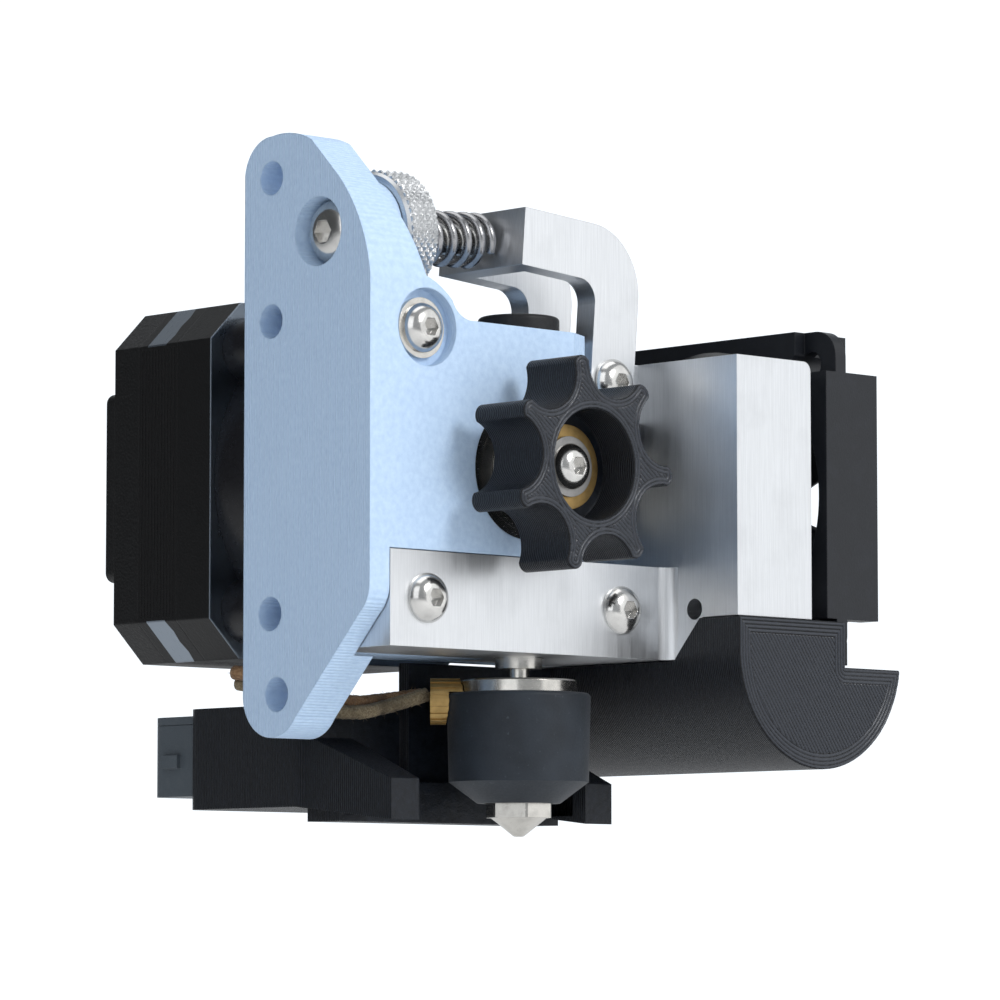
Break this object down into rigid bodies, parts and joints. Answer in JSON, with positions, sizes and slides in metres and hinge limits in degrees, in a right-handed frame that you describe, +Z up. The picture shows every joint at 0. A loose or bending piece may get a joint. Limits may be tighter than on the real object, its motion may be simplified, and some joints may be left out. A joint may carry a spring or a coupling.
{
  "type": "extruder head",
  "caption": "Direct-drive 3D printer extruder head with geared motor, hand knob, spring-loaded idler lever, hot end, axial fan and nozzle air ducts.",
  "frame": {"origin": "middle of the two inner carriage holes, on the bracket's mounting face", "axes": "+X away from the carriage, square to the mounting face; -Y to the front, where the hand knob is; +Z up, against the filament's way in"},
  "size_m": [0.075, 0.0647, 0.0807],
  "materials": {
    "print_blue": "matte, fine printed layer lines",
    "print_black": "semi-gloss, printed layer lines",
    "aluminium": "brushed, sharp edges",
    "knurled_aluminium": "diamond knurl, turned faces",
    "steel_screw": "polished stainless",
    "steel": "turned, bright",
    "spring_steel": "dark polished wire",
    "gear_steel": "machined, lightly oiled",
    "brass": "turned, knurled",
    "motor_black": "textured black enamel",
    "motor_silver": "stacked sheet steel, bare corners",
    "copper": "enamelled copper winding",
    "gearbox_black": "smooth moulded, satin",
    "fan_black": "satin moulded",
    "blower_grey": "satin moulded",
    "collar_black": "matte moulded",
    "silicone": "matte blue-black silicone",
    "sleeve": "braided glass-fibre sleeve, fuzzy",
    "balls": "polished"
  },
  "bodies": {
    "head": {"mount_bracket": "print_blue", "cooling_block": "aluminium", "bar_screws": "steel_screw", "cover_screw": "steel_screw", "cover_washer": "steel", "rear_screw": "steel_screw", "front_bearing_outer": "steel", "front_bearing_shield": "steel", "ring_gear": "gear_steel", "gearbox_housing": "gearbox_black", "output_bearing": "steel", "motor_front_cap": "motor_black", "motor_stator": "motor_silver", "motor_coils": "copper", "motor_rear_cap": "motor_black", "motor_end_cover": "motor_black", "motor_bearings": "steel", "pivot_screw": "steel_screw", "tension_screw": "steel_screw", "tension_spring": "spring_steel", "filament_guide": "collar_black", "heat_break": "steel", "heater_core": "steel", "silicone_sock": "silicone", "nozzle": "steel", "sensor_boss": "brass", "fan_frame": "fan_black", "air_duct": "print_black", "blower_housing": "blower_grey", "blower_cover": "blower_grey", "nozzle_duct": "print_black", "heater_leads": "sleeve"},
    "drive": {"planet_carrier": "gear_steel", "planet_pins": "gear_steel", "drive_gear": "gear_steel", "grub_screw": "gear_steel", "front_bearing_inner": "steel", "front_bearing_balls": "balls", "hand_knob": "print_black", "knob_insert": "brass", "knob_washer": "steel", "knob_screw": "steel_screw"},
    "rotor": {"motor_rotor": "motor_silver", "motor_shaft": "steel", "sun_gear": "gear_steel"},
    "planet_1": {"planet_gear_1": "gear_steel"},
    "planet_2": {"planet_gear_2": "gear_steel"},
    "planet_3": {"planet_gear_3": "gear_steel"},
    "lever": {"idler_lever": "aluminium", "idler_axle": "steel", "idler_inner_race": "steel"},
    "idler": {"idler_bearing": "steel"},
    "spring_seat": {"spring_washer": "steel"},
    "tension_nut": {"thumb_nut": "knurled_aluminium"},
    "fan_blades": {"fan_rotor": "fan_black"},
    "blower_wheel": {"blower_impeller": "fan_black"}
  },
  "joints": [
    {"name": "drive_spin", "type": "hinge", "parent": "head", "child": "drive", "pos_m": [0.0243, -0.0171, 0], "axis": [0, 1, 0], "continuous": true},
    {"name": "rotor_spin", "type": "hinge", "parent": "head", "child": "rotor", "pos_m": [0.0243, 0.022, 0], "axis": [0, 1, 0], "continuous": true},
    {"name": "planet_1_spin", "type": "hinge", "parent": "drive", "child": "planet_1", "pos_m": [0.0348, 0.0106, 0], "axis": [0, 1, 0], "continuous": true},
    {"name": "planet_2_spin", "type": "hinge", "parent": "drive", "child": "planet_2", "pos_m": [0.01905, 0.0106, 0.00909], "axis": [0, 1, 0], "continuous": true},
    {"name": "planet_3_spin", "type": "hinge", "parent": "drive", "child": "planet_3", "pos_m": [0.01905, 0.0106, -0.00909], "axis": [0, 1, 0], "continuous": true},
    {"name": "lever_pivot", "type": "hinge", "parent": "head", "child": "lever", "pos_m": [0.0402, -0.00815, 0.0116], "axis": [0, -1, 0], "range_deg": [-6, 5]},
    {"name": "idler_spin", "type": "hinge", "parent": "lever", "child": "idler", "pos_m": [0.03928, -0.00815, -0.00006], "axis": [0, 1, 0], "continuous": true},
    {"name": "spring_slide", "type": "slide", "parent": "head", "child": "spring_seat", "axis": [0.9988, 0, 0.0499], "range_m": [0, 0.0042], "deforming": ["tension_spring"]},
    {"name": "nut_turn", "type": "hinge", "parent": "spring_seat", "child": "tension_nut", "pos_m": [0.01, -0.00815, 0.0271], "axis": [0.9988, 0, 0.0499], "range_deg": [0, 2160]},
    {"name": "fan_spin", "type": "hinge", "parent": "head", "child": "fan_blades", "pos_m": [0.0678, -0.00815, -0.001], "axis": [1, 0, 0], "continuous": true},
    {"name": "blower_spin", "type": "hinge", "parent": "head", "child": "blower_wheel", "pos_m": [0.0263, 0.0204, -0.033], "axis": [0, 0, 1], "continuous": true}
  ],
  "couplings": [
    {"joint": "rotor_spin", "follows": "drive_spin", "ratio": 5},
    {"joint": "planet_1_spin", "follows": "drive_spin", "ratio": -2.6667},
    {"joint": "planet_2_spin", "follows": "drive_spin", "ratio": -2.6667},
    {"joint": "planet_3_spin", "follows": "drive_spin", "ratio": -2.6667},
    {"joint": "nut_turn", "follows": "spring_slide", "rad_per_m": 8976}
  ]
}
